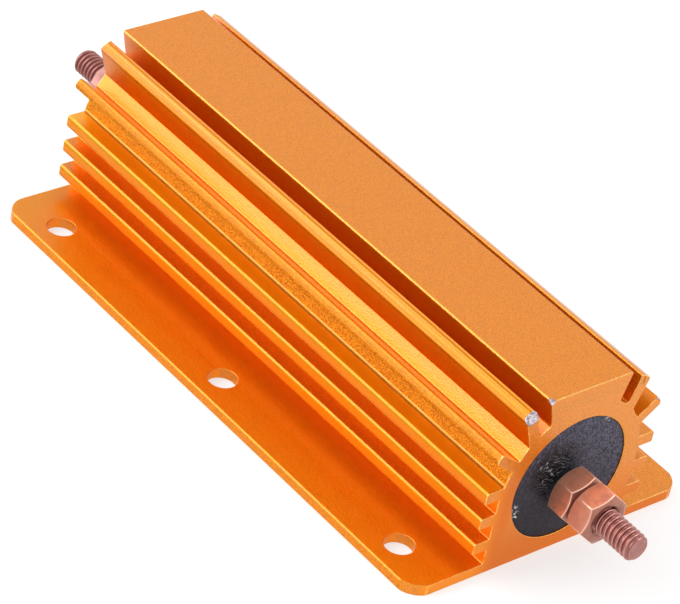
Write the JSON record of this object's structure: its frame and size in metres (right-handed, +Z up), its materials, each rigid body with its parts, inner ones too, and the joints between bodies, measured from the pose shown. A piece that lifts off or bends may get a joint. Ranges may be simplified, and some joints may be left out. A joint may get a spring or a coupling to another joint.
{
  "type": "aluminium housed resistor",
  "caption": "Wirewound power resistor in a long finned aluminium extrusion with a mounting flange, black end seals and threaded terminal studs with nuts.",
  "frame": {"origin": "centre of the pattern of mounting holes, on the plane of the mounting face", "axes": "+X along the extrusion towards the near end of the picture, +Y across the flange, +Z up from the mounting face"},
  "size_m": [0.1848, 0.0724, 0.0401],
  "materials": {
    "anodised_gold": "satin, fine-blasted, anodised gold-orange",
    "black_seal": "matte black sealing compound",
    "copper_plate": "satin copper plating",
    "ceramic": "unglazed ceramic",
    "resistance_alloy": "drawn resistance wire",
    "cap_metal": "plain stamped metal",
    "filling": "cured filling compound"
  },
  "bodies": {
    "root": {"housing": "anodised_gold", "end_seal_near": "black_seal", "end_seal_far": "black_seal", "stud_near": "copper_plate", "stud_far": "copper_plate", "inner_nut_near": "copper_plate", "outer_nut_near": "copper_plate", "inner_nut_far": "copper_plate", "outer_nut_far": "copper_plate", "ceramic_core": "ceramic", "resistance_winding": "resistance_alloy", "end_cap_near": "cap_metal", "end_cap_far": "cap_metal", "filling": "filling"}
  },
  "joints": []
}
